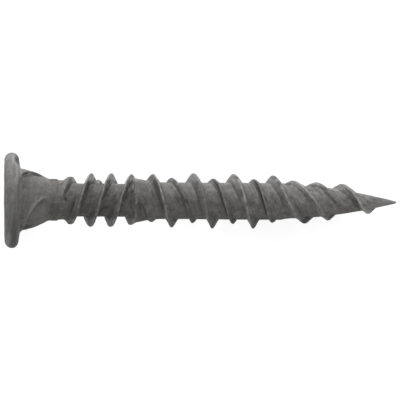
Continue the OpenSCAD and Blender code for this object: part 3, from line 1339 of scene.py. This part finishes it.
@dataclass
class RolledSurface:
    """Unevenness of the rolled metal, in millimetres."""

    wave_depth: float = 0.014
    wave_size: float = 1.3
    grain_depth: float = 0.006
    grain_size: float = 0.35
    seed: float = 5.0
    knock_near: Pair = (1.6, 1.2)
    knocks: tuple[Knock, ...] = (
        Knock(7.62, 95, 0.36, 0.6, 0.31, Mark.LUMP),
        Knock(8.26, 206, 0.22, 0.12, 0.07),
        Knock(4.98, 181, 0.2, 0.22, 0.06),
        Knock(23.15, 268, 0.75, 1.2, 0.07),
        Knock(24.2, 92, 0.4, 0.8, 0.1),
    )

    def build(self, parts: Sequence[bpy.types.Object], material: bpy.types.Material) -> bpy.types.Object:
        """Joins the parts and moves their surface in and out.

        Args:
            parts: Closed shells that make up the screw, the body first.
            material: Finish of the screw.

        Returns:
            The whole screw as one piece.
        """
        shells = list(parts)
        with bpy.context.temp_override(
            active_object=shells[0], selected_objects=shells, selected_editable_objects=shells
        ):
            bpy.ops.object.join()
        joined = parts[0]
        drawn = joined.data.copy()
        bpy.data.objects.remove(joined)
        sheet = ShapeSheet("rolled_surface")
        wave = sheet.size("Wave Depth", self.wave_depth)
        grain = sheet.size("Grain Depth", self.grain_depth)
        position = Field(sheet, sheet.add("GeometryNodeInputPosition").outputs[0])
        normal = Field(sheet, sheet.add("GeometryNodeInputNormal").outputs[0])
        spot = sheet.scaled(position, 1 / MM)
        offset = wave * sheet.swing(spot, self.wave_size, self.seed)
        offset = offset + grain * sheet.swing(spot, self.grain_size, self.seed + 1)
        for knock in self.knocks:
            offset = offset + self.press(sheet, spot, knock)
        far = sheet.scaled(normal, offset * MM)
        moved = sheet.add("GeometryNodeSetPosition", sockets={0: sheet.line, "Offset": far}).outputs[0]
        sheet.end(moved, material)
        piece = sheet.shape(PIECE, drawn)
        self.smooth(piece.data)
        return piece

    def press(self, sheet: ShapeSheet, spot: Field, knock: Knock) -> Field:
        """Height that one knock adds.

        Args:
            sheet: Tree that works it out.
            spot: Place on the surface in millimetres.
            knock: The dent or lump.

        Returns:
            Height in millimetres, below 0 in a dent.
        """
        radius = PROFILE.floor_at(knock.along)
        middle = REST.point(knock.along, radius * sine(knock.angle), -radius * cosine(knock.angle)) / MM
        round_way = (REST.up * sine(knock.angle) + Vector((0, cosine(knock.angle), 0))).normalized()
        away = sheet.less(spot, tuple(middle))
        along = sheet.dot(away, tuple(REST.axis)) / knock.reach
        across = sheet.dot(away, tuple(round_way)) / knock.girth
        near = sheet.share(sheet.length(away), *self.knock_near)
        return knock.mark.value * knock.depth * soft(along**2 + across**2, 1.0, 0.0) * near

    @staticmethod
    def smooth(mesh: bpy.types.Mesh, sharp: float = 38.0) -> None:
        """Shades the mesh smooth, apart from its sharp edges.

        Args:
            mesh: Mesh that is changed.
            sharp: Angle between two faces from which an edge stays sharp.
        """
        mesh.polygons.foreach_set("use_smooth", [True] * len(mesh.polygons))
        mesh.set_sharp_from_angle(angle=math.radians(sharp))


@dataclass(frozen=True)
class Patch:
    """A paler or darker patch of colour as seen from above, in millimetres and degrees.

    Some patches are the coating's own tone; many are painted highlights and painted shade.

    Attributes:
        along: Distance of its middle from the face of the head.
        side: Distance of its middle to the +Y side of the axis.
        reach: Half of its length.
        girth: Half of its width.
        tone: Share by which the colour is lighter there, below 0 where it is darker.
        turn: Angle from the axis to its length.
    """

    along: float
    side: float
    reach: float
    girth: float
    tone: float
    turn: float = 0.0


# One row for each patch: along, side, reach, girth, tone and, where it isn't 0, turn.
# Many rows are painted highlights and painted shade; the others are the coating's own tone.
PATCH_ROWS: tuple[tuple[float, ...], ...] = (
    (0.1, -2.4, 1.5, 0.14, 0.45, 90), (0.28, -3.65, 0.35, 0.3, 0.5), (0.42, -3.15, 0.35, 0.5, 0.45),
    (0.25, -1.5, 1.5, 0.25, 0.15, 90), (0.5, 0.6, 0.35, 0.65, -0.13), (0.75, 3.3, 0.5, 0.13, 0.5, 97),
    (1.08, 3.2, 0.45, 0.2, -0.75, 107), (1.15, 2.75, 0.45, 0.12, 0.4, 145),
    (1.22, -0.2, 2.9, 0.3, 0.26, 90), (1.0, 2.85, 0.15, 0.35, 0.4), (1.05, 1.6, 0.22, 0.6, 0.4),
    (1.2, 2.3, 0.28, 0.7, 1.0), (1.5, -1.85, 0.25, 0.35, 0.35), (1.75, 2.14, 0.42, 0.13, -0.75, 25),
    (1.85, 0.7, 1.6, 0.4, -0.14, 90), (1.85, -2.05, 0.45, 0.25, 0.2), (2.1, 1.1, 0.8, 0.45, -0.2),
    (2.6, 1.8, 1.0, 0.35, -0.15), (2.7, -1.3, 1.3, 1.1, 0.2), (2.62, 2.05, 0.55, 0.17, -0.75, -17),
    (1.75, -0.45, 0.7, 0.2, 0.13, 50), (2.38, -0.6, 0.7, 0.2, 0.2, 57), (2.95, -0.02, 0.5, 0.15, 0.2, 27),
    (3.25, 0.17, 0.4, 0.1, 0.3, 5), (4.0, 1.62, 0.6, 0.18, -0.4), (5.02, 0.03, 0.15, 0.2, -0.5),
    (5.14, 0.97, 0.8, 0.2, -0.5, 63), (5.42, 0.57, 0.25, 0.3, -0.35), (5.67, -1.5, 0.25, 0.15, -0.3),
    (5.6, -0.32, 1.0, 0.17, -0.25, 75), (6.4, 0.6, 0.4, 0.12, 0.15, 70), (6.56, 1.15, 0.22, 0.16, 0.22),
    (6.62, -1.6, 0.25, 0.4, 1.0), (6.68, 0.25, 0.5, 0.14, -0.25, 70), (6.7, 1.55, 0.25, 0.15, 0.5, 65),
    (7.0, 0.75, 0.35, 0.4, -0.3), (7.08, 1.87, 0.4, 0.5, 0.9), (7.12, 0.3, 0.35, 0.25, -0.13),
    (7.15, 1.1, 0.35, 0.15, -0.45, 65), (7.9, -0.3, 0.6, 0.15, 0.17, 70),
    (8.15, 0.75, 0.45, 0.13, 0.3, 70), (8.34, 1.2, 0.2, 0.3, 0.55), (8.54, 0.6, 0.45, 0.14, -0.2, 70),
    (8.75, 1.98, 0.35, 0.35, 0.9), (8.9, 0.2, 0.4, 0.25, -0.4, 75), (8.83, 1.55, 0.38, 0.25, 0.65, 60),
    (8.88, 1.08, 0.22, 0.12, -0.3, 65), (9.11, -0.16, 0.45, 0.15, -0.25, 70),
    (9.84, 0.8, 0.4, 0.12, 0.3, 70), (9.96, 1.3, 0.2, 0.3, 0.55), (10.12, 1.6, 0.25, 0.3, 0.5),
    (10.28, 1.15, 0.35, 0.2, 0.18), (10.36, -0.65, 0.45, 0.45, 0.15), (5.2, 1.8, 0.5, 0.35, -0.9),
    (7.6, 1.45, 0.25, 0.14, 0.55), (8.26, -0.61, 0.2, 0.1, -0.5, 25), (8.3, -1.66, 0.25, 0.4, 1.0),
    (9.95, -1.48, 0.3, 0.35, 0.9), (10.05, 0.4, 0.45, 0.25, -0.35, 75), (10.28, -1.05, 0.15, 0.3, 0.4),
    (10.36, 0.7, 0.2, 0.09, -0.5, 10), (10.44, 1.1, 0.3, 0.1, 0.6, 75),
    (10.69, -1.13, 0.4, 0.06, 0.5, 90), (10.75, -0.08, 0.4, 0.08, 0.4, 82),
    (11.0, -0.4, 0.45, 0.13, -0.4, -75), (11.32, -0.65, 0.95, 0.13, -0.35, -63),
    (12.0, 0.5, 0.45, 0.2, -0.3, -70), (12.05, -1.5, 0.5, 0.25, 0.45), (11.5, 0.9, 0.35, 0.3, -0.25),
    (11.66, -0.7, 1.2, 0.4, 0.12), (12.3, -1.1, 0.5, 0.3, 0.2), (13.1, -1.2, 0.4, 0.14, 0.5, -75),
    (13.7, -1.9, 0.3, 0.3, 0.5), (13.76, -0.95, 0.35, 0.3, 0.15), (14.0, 1.38, 0.2, 0.2, 0.6),
    (14.03, 0.3, 0.75, 0.22, -0.33, -70), (14.35, -0.1, 1.1, 0.6, -0.13),
    (14.75, 0.0, 0.35, 0.15, -0.45, -60), (15.2, 0.5, 0.5, 0.2, -0.25, -60),
    (16.35, -0.85, 0.5, 0.3, 0.1), (16.43, -1.1, 0.5, 0.12, 0.4, -78), (17.05, -0.7, 0.55, 0.36, 0.27),
    (17.15, 0.45, 0.6, 0.22, -0.25, -65), (17.85, 0.4, 0.6, 0.2, -0.16, -60),
    (18.62, 0.3, 0.2, 0.2, -0.18), (18.86, -0.95, 0.45, 0.25, 0.15), (18.7, 1.95, 0.35, 0.22, -0.6),
    (19.2, 0.65, 0.6, 0.2, -0.22, -65), (21.86, 1.95, 0.4, 0.25, -0.55),
    (21.85, 0.3, 0.65, 0.32, -0.28, -60), (20.1, -0.68, 0.5, 0.5, 0.3),
    (21.2, 0.15, 0.5, 0.15, -0.4, -65), (20.9, 0.35, 0.7, 0.5, -0.1), (21.22, -0.55, 0.2, 0.45, -0.14),
    (21.1, -1.5, 0.3, 0.2, -0.4), (22.25, 1.5, 0.35, 0.15, -0.35, -50), (22.97, 1.4, 0.35, 0.14, -0.5),
    (22.8, -1.42, 0.8, 0.12, -0.5), (22.85, -1.0, 0.45, 0.3, -0.2), (23.3, 0.4, 0.5, 0.18, -0.16, -60),
    (23.7, -0.5, 0.6, 0.2, -0.3, -60), (24.6, -1.35, 0.35, 0.3, -0.45), (25.02, 1.3, 0.35, 0.16, -0.8),
    (25.15, -0.3, 0.65, 0.2, 0.15, -47), (25.26, 0.7, 0.35, 0.2, 0.18), (25.46, -1.3, 0.3, 0.15, -0.3),
    (25.45, -0.75, 0.5, 0.13, 0.4, -65), (25.7, 1.15, 0.75, 0.16, -0.5, -22),
    (25.74, -0.12, 0.4, 0.12, -0.15, -50), (26.1, 0.72, 0.75, 0.18, -0.35, -42),
    (26.32, -1.42, 0.5, 0.19, 0.75), (26.63, 0.12, 0.5, 0.16, -0.35, -50), (26.85, 1.05, 0.4, 0.14, 0.35),
    (27.6, 0.25, 0.45, 0.35, -0.16), (28.1, 0.8, 0.35, 0.14, -0.5, -50),
    (28.55, -0.15, 0.8, 0.26, -0.35, -56), (28.62, 0.05, 0.2, 0.15, -0.18, -60),
    (28.85, -0.17, 0.8, 0.11, 0.6, -62), (29.2, -0.5, 0.25, 0.2, 0.4), (29.45, -0.85, 0.55, 0.3, 1.3),
    (30.15, 0.25, 0.7, 0.2, -0.35, -8), (30.7, -0.35, 1.7, 0.5, 0.45),
)


@dataclass(frozen=True)
class Zones:
    """Where each rule of the coating and of its painted light and shade starts, and where it is full.

    The first word says what a pair measures: millimetres along the screw, to the +Y side, out from the axis
    or up from it, round the axis the share of the radius that lies to the +Y side, or the flecks' noise.
    """

    along_under_head: Pair = (1.75, 1.45)
    along_neck: Pair = (3.4, 4.4)
    along_thread: Pair = (4.2, 4.6)
    along_crests: Pair = (4.3, 4.6)
    along_upper: Pair = (11.0, 10.6)
    along_lower: Pair = (10.6, 11.6)
    along_far: Pair = (17.0, 21.0)
    along_tip: Pair = (29.3, 28.7)
    side_under_head: Pair = (-0.8, -2.4)
    side_crests: Pair = (1.45, 1.8)
    side_low_crests: Pair = (-1.3, -1.6)
    round_upper: Pair = (0.72, 0.97)
    round_lower: Pair = (-0.88, -0.98)
    out_crests: Pair = (1.65, 1.8)
    up_seen: Pair = (-1.0, -0.3)
    fleck: Pair = (0.25, 0.75)


@dataclass(frozen=True)
class CoatedSteel:
    """Matte grey coating on steel, thin on the crests and mottled all over, with painted highlights and
    shade.

    Attributes:
        grey: Its usual colour, on each channel.
        dark: Its colour where it is thickest, and in the deepest painted shade.
        pale: Its colour where it is thinnest, and in painted light.
        roughness: Its usual roughness.
        bump: Height of its grain in metres.
        under: Share by which it is painted darker under the head, painted shade of the rim's underside.
        under_low: Share of that which shows all round.
        rim_end: Where the rim turns under the head on the axis, how much further for each millimetre to
            the +Y side, and over which distance.
        crest_highlight: Share of painted highlight on crests of the upper thread that stand out to the +Y
            side.
        crest_highlight_far: The same share on the lower thread.
        low_crest_light: Share of painted light on crests of the upper thread that stand out to the -Y side.
        upper: Share by which it is painted lighter along the +Y side, where the light falls.
        lower: Share by which it is painted darker along the -Y side, a painted shade line inside the lower
            outline.
        lower_far: Further share of that towards the point.
        calm: Share of the mottling that the head and its neck show.
        wear_and_light_least: Share of the thinned coating, painted highlight and painted shade of crests,
            flanks and nibs that shows on a thick fleck of the coating.
        wear_and_light_more: Further share of it that shows on a thin fleck.
        wear_and_light_more: Further share of it that shows on a thin fleck.
        rough_swing: Further roughness from its smoothest to its roughest clouds.
        shine: Strength of its mirroring.
        grain: Strength of its grain.
        clouds: Size, seed, detail and roughness of the noise that clouds it.
        flecks: The same of its flecks.
        specks: The same of its specks.
        rolled: The same of its rolling lines.
        mottles: Strength of the mottling by clouds, flecks, specks and rolling lines.
        grains: Height of the grain by specks, flecks and rolling lines.
        tone_low: Tone at the low end of the ramp.
        tone_span: Tones that the ramp spans.
        tint: Share of the grey that its red, green and blue have.
        tones: Share by which it is lighter along the screw, at distances from the face of the head.
        tones_most: Largest of these shares that can be set, either way.
        patch_spread: Size of a patch's fading disc, as a share of its own size.
        patch_full: Share of the way to the middle of that disc at which the patch is at full strength.
        rolled_from: Place along the screw where the rolling lines change hand.
        rolled_lead: Lead of the rolling lines.
        rolled_fine: Radius of the round path on which the rolling lines' noise is read, in its own measure.
        rolled_along: Way along the screw that its noise is read over, for each millimetre.
    """

    grey: float = 0.166
    dark: float = 0.092
    pale: float = 0.285
    roughness: float = 0.55
    bump: float = 0.00005
    under: float = 0.2
    under_low: float = 0.3
    rim_end: Triple = (0.93, 0.15, 0.12)
    crest_highlight: float = 0.85
    crest_highlight_far: float = 0.2
    low_crest_light: float = 0.4
    upper: float = 0.22
    lower: float = 0.45
    lower_far: float = 0.45
    calm: float = 0.7
    wear_and_light_least: float = 0.4
    wear_and_light_more: float = 1.2
    rough_swing: float = 0.3
    shine: float = 0.15
    grain: float = 0.7
    clouds: tuple[float, ...] = (1.0, 2.0, 3.0, 0.6)
    flecks: tuple[float, ...] = (0.42, 3.0, 2.0, 0.5)
    specks: tuple[float, ...] = (0.14, 4.0, 2.0, 0.6)
    rolled: tuple[float, ...] = (1.0, 7.0, 2.0, 0.6)
    mottles: tuple[float, float, float, float] = (0.6, 0.75, 0.8, 0.6)
    grains: Triple = (0.8, 1.2, 0.9)
    tone_low: float = -0.3
    tone_span: float = 2.2
    tint: Triple = (1.0, 0.975, 0.944)
    tones_most: float = 0.3
    patch_spread: float = 1.06
    patch_full: float = 0.67
    rolled_from: float = 11.0
    rolled_lead: float = 3.28
    rolled_fine: float = 5.0
    rolled_along: float = 0.8
    tones: tuple[Pair, ...] = (
        (0.0, 0.14), (1.0, 0.12), (1.6, 0.0), (3.5, 0.02), (3.9, -0.12), (4.4, -0.06), (4.8, -0.12),
        (6.0, -0.18), (10.2, -0.18), (11.0, -0.18), (12.5, -0.06), (14.0, -0.01), (22.0, 0.04),
        (28.0, 0.1), (29.8, 0.18), (31.8, 0.29),
    )
    zones: Zones = Zones()
    patches: tuple[Patch, ...] = tuple(Patch(*row) for row in PATCH_ROWS)

    def build(self) -> bpy.types.Material:
        """Makes the material.

        Returns:
            The finish, which follows the piece's own coordinates in millimetres.
        """
        zones = self.zones
        material = bpy.data.materials.new(SLOT)
        sheet = emptied(material)
        spot = self.spot(sheet)
        along, side, up = sheet.split(spot)
        cloud = sheet.noise(spot, *self.clouds)
        fleck = sheet.noise(spot, *self.flecks)
        speck = sheet.noise(spot, *self.specks)
        streak = self.streak(sheet, along, side, up)
        wear = Field(sheet, sheet.add("ShaderNodeAttribute", {"attribute_name": "wear"}).outputs["Fac"])
        tone = 0.5 + sheet.curve(along, self.tones, self.tones_most)
        clouds, flecks, specks, streaks = self.mottles
        mottle = (cloud - 0.5) * clouds + (fleck - 0.5) * flecks
        mottle = mottle + (speck - 0.5) * specks + (streak - 0.5) * streaks
        tone = tone + mottle * (self.calm + (1 - self.calm) * soft(along, *zones.along_neck))
        # Thinned coating with painted highlight on crests and nib edges, painted shade on flanks and nib
        # hollows.
        tone = tone + wear * (self.wear_and_light_least + self.wear_and_light_more * soft(fleck, *zones.fleck))
        # Painted shade under the head, from where the rim turns under it to the neck.
        middle_end, slant, turn_h = self.rim_end
        rim_end = middle_end + slant * side
        under = self.under * (self.under_low + sheet.share(side, *zones.side_under_head))
        under = under * soft(along, rim_end, rim_end + turn_h) * soft(along, *zones.along_under_head)
        tone = tone - under
        # Painted highlight on crests that stand out to the +Y side, where the light falls.
        crest_highlight = self.crest_highlight + (self.crest_highlight_far - self.crest_highlight) * soft(along, *zones.along_lower)
        tone = tone + crest_highlight * soft(side, *zones.side_crests) * soft(along, *zones.along_thread)
        # Painted light on the upper thread's crests that stand out to the -Y side, in the shade.
        low = self.low_crest_light * soft(side, *zones.side_low_crests)
        tone = tone + low * soft(along, *zones.along_thread) * soft(along, *zones.along_upper)
        radius = sheet.math("SQRT", side * side + up * up)
        round_side = side / sheet.math("MAXIMUM", radius, 0.1)
        # Painted light along the +Y side, where the key light falls.
        tone = tone + self.upper * soft(round_side, *zones.round_upper)
        # Painted shade along the -Y side: a dark line inside the lower outline, left off the upper thread's
        # crests.
        edge = soft(round_side, *zones.round_lower) * soft(along, *zones.along_tip)
        crest = soft(radius, *zones.out_crests)
        edge = edge * (1 - crest * soft(along, *zones.along_upper) * soft(along, *zones.along_crests))
        tone = tone - edge * (self.lower + self.lower_far * soft(along, *zones.along_far))
        # Patches of the coating's own tone, painted highlight and painted shade, on the side that faces up.
        marks = 0.0
        for mark in self.patches:
            marks = self.patch(sheet, spot, mark) + marks
        tone = tone + marks * sheet.share(up, *zones.up_seen)
        # The palest stops serve the painted highlights and painted light.
        shades = (
            (-0.3, self.dark * 0.6), (0.1, self.dark), (0.5, self.grey),
            (0.95, self.pale), (1.4, self.pale * 1.3), (1.9, self.pale * 1.65),
        )
        low, whole = self.tone_low, self.tone_span
        red, green, blue = self.tint
        colours = [(shade * red, shade * green, shade * blue, 1) for _, shade in shades]
        stops = [((at - low) / whole, colour) for (at, _), colour in zip(shades, colours)]
        ramp = sheet.add("ShaderNodeValToRGB", {"stops": stops}, {0: (tone - low) / whole})
        rough = self.roughness + (cloud - 0.5) * self.rough_swing
        specks, flecks, streaks = self.grains
        height = (speck - 0.5) * specks + (fleck - 0.5) * flecks + (streak - 0.5) * streaks
        grain = {"Strength": self.grain, "Distance": self.bump, "Height": height}
        bump = sheet.add("ShaderNodeBump", sockets=grain)
        shader = sheet.add(
            "ShaderNodeBsdfPrincipled",
            sockets={
                "Base Color": ramp.outputs[0],
                "Roughness": rough,
                "Metallic": 0.0,
                "Specular IOR Level": self.shine,
                "Normal": bump.outputs[0],
            },
        )
        sheet.add("ShaderNodeOutputMaterial", sockets={"Surface": shader.outputs[0]})
        return material

    def patch(self, sheet: NodeSheet, spot: Field, mark: Patch) -> Field:
        """Share by which one patch makes the colour lighter.

        Args:
            sheet: Tree that works it out.
            spot: Place on the screw in millimetres.
            mark: The patch.

        Returns:
            The share, 0 outside the patch.
        """
        place = {
            "vector_type": "TEXTURE",
            "translation": (mark.along, mark.side, 0),
            "rotation": (0, 0, math.radians(mark.turn)),
            "scale": (mark.reach * self.patch_spread, mark.girth * self.patch_spread, 1000),
        }
        settings = {"gradient_type": "SPHERICAL", "place": place}
        disc = sheet.add("ShaderNodeTexGradient", settings, {"Vector": spot})
        fading = sheet.add(
            "ShaderNodeMapRange",
            {"interpolation_type": "SMOOTHSTEP"},
            {"Value": disc.outputs["Fac"], "From Max": self.patch_full, "To Max": mark.tone},
        )
        return Field(sheet, fading.outputs[0])

    @staticmethod
    def spot(sheet: NodeSheet) -> Field:
        """Place on the screw in millimetres: along it from the face of the head, to its +Y side and up.

        Args:
            sheet: Tree that works it out.

        Returns:
            The place, which lies on the axis at 0, 0.
        """
        place = sheet.add("ShaderNodeTexCoord").outputs["Object"]
        laid = sheet.add(
            "ShaderNodeMapping",
            {"vector_type": "POINT"},
            {
                "Vector": place,
                "Location": (-REST.axis.dot(REST.face) / MM, 0, -REST.up.dot(REST.face) / MM),
                "Rotation": (0, -math.radians(REST.tilt), 0),
                "Scale": (1 / MM, 1 / MM, 1 / MM),
            },
        )
        return Field(sheet, laid.outputs[0])

    def streak(self, sheet: NodeSheet, along: Field, side: Field, up: Field) -> Field:
        """Fine lines that rolling has left, which follow the threads.

        Args:
            sheet: Tree that works it out.
            along: Distance from the face of the head.
            side: Distance to the +Y side.
            up: Distance above the axis.

        Returns:
            The number, mostly between 0.3 and 0.7.
        """
        run = sheet.math("ABSOLUTE", along - self.rolled_from) * (-math.tau / self.rolled_lead)
        angle = sheet.math("ARCTAN2", side, -up) + run
        x = self.rolled_fine * sheet.math("COSINE", angle)
        y = self.rolled_fine * sheet.math("SINE", angle)
        return sheet.noise(sheet.combine(x, y, along * self.rolled_along), *self.rolled)


@dataclass
class Studio:
    """Plain pale floor, soft light and the camera of the photograph, in millimetres and degrees."""

    view_width: float = 32.38
    view_middle: float = 15.867
    view_lift: float = 0.0745
    roll: float = 0.447
    lens: float = 1400.0
    sensor: float = 36.0
    floor_half: float = 1500.0
    key_strength: float = 3.3
    key_tilt: float = 83.0
    key_lean: float = 3.0
    key_spread: float = 40.0
    fill: float = 0.53
    floor_seen: float = 0.6
    floor_lit: float = 0.07
    floor_glow: float = 0.74
    clip_start: float = 10.0
    clip_end: float = 20000.0

    def place_camera(self) -> None:
        """Sets the camera square to the screw's axis, as in the photograph."""
        data = bpy.data.cameras.new("camera")
        data.lens = self.lens
        data.sensor_width = self.sensor
        data.clip_start = self.clip_start * MM
        data.clip_end = self.clip_end * MM
        camera = put("camera", data)
        side = Vector((0, 1, 0))
        right = REST.axis * cosine(self.roll) + side * sine(self.roll)
        above = side * cosine(self.roll) - REST.axis * sine(self.roll)
        distance = self.view_width * MM * self.lens / self.sensor
        target = REST.point(self.view_middle) + above * self.view_lift * MM
        turn = Matrix((right, above, REST.up)).transposed().to_4x4()
        camera.matrix_world = Matrix.Translation(target + REST.up * distance) @ turn
        bpy.context.scene.camera = camera

    def lay_floor(self) -> None:
        """Lays the floor, which the camera sees as white but for the screw's shadow."""
        mesh = bpy.data.meshes.new("floor")
        h = self.floor_half * MM
        mesh.from_pydata([(-h, -h, 0), (h, -h, 0), (h, h, 0), (-h, h, 0)], [], [(0, 1, 2, 3)])
        floor = put("floor", mesh)
        material = bpy.data.materials.new("floor_white")
        sheet = emptied(material)
        seen = self.seen(sheet)
        greys = [(*[grey] * 3, 1) for grey in (self.floor_lit, self.floor_seen)]
        bare = sheet.add("ShaderNodeMix", {"data_type": "RGBA"}, {0: seen, 6: greys[0], 7: greys[1]})
        matte = sheet.add("ShaderNodeBsdfDiffuse", sockets={"Color": bare.outputs[2]})
        shine = {"Color": (1, 1, 1, 1), "Strength": seen * self.floor_glow}
        glow = sheet.add("ShaderNodeEmission", sockets=shine)
        both = sheet.add("ShaderNodeAddShader", sockets={0: matte.outputs[0], 1: glow.outputs[0]})
        sheet.add("ShaderNodeOutputMaterial", sockets={"Surface": both.outputs[0]})
        mesh.materials.append(material)

    @staticmethod
    def seen(sheet: NodeSheet) -> Field:
        """Tells the rays that the camera sees from all others.

        Args:
            sheet: Tree that works it out.

        Returns:
            1 for a ray from the camera, also one that was mirrored or let through, and 0 for any other.
        """
        path = sheet.add("ShaderNodeLightPath")
        kinds = ("Is Camera Ray", "Is Glossy Ray", "Is Transmission Ray")
        looked, mirrored, passed = [Field(sheet, path.outputs[kind]) for kind in kinds]
        return sheet.math("MAXIMUM", sheet.math("MAXIMUM", looked, mirrored), passed)

    def light(self) -> None:
        """Sets the soft key light and the plain surroundings."""
        data = bpy.data.lights.new("key", "SUN")
        data.energy = self.key_strength
        data.angle = math.radians(self.key_spread)
        key = put("key", data)
        level = Vector((0, 1, 0)) * cosine(self.key_lean) - REST.axis * sine(self.key_lean)
        towards = REST.up * cosine(self.key_tilt) + level * sine(self.key_tilt)
        key.rotation_euler = towards.to_track_quat("Z", "Y").to_euler()
        world = bpy.data.worlds.new("surroundings")
        sheet = emptied(world)
        strength = self.fill + self.seen(sheet) * (1 - self.fill)
        around = sheet.add("ShaderNodeBackground", sockets={"Color": (1, 1, 1, 1), "Strength": strength})
        sheet.add("ShaderNodeOutputWorld", sockets={"Surface": around.outputs[0]})
        bpy.context.scene.world = world
        bpy.context.scene.view_settings.view_transform = "Standard"

    def build(self) -> None:
        """Sets up the whole studio."""
        self.place_camera()
        self.lay_floor()
        self.light()


def report(piece: bpy.types.Object) -> None:
    """Reports a finished piece.

    Args:
        piece: The piece.
    """
    mesh = piece.data
    mesh.calc_loop_triangles()
    log.info("%s: %d points, %d triangles", piece.name, len(mesh.vertices), len(mesh.loop_triangles))


def main() -> None:
    """Builds the studio and the screw, and ties the screw to the CAD part."""
    logging.basicConfig(level=logging.INFO, format="%(name)s: %(message)s")
    Studio().build()
    material = CoatedSteel().build()
    body = TurnedBody().build(material)
    report(body)
    ridges = Threads().build(material)
    for ridge in ridges:
        report(ridge)
    screw = RolledSurface().build([body, *ridges], material)
    report(screw)
    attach(screw, BODY)
    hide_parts(NODE)


if __name__ == "__main__":
    main()
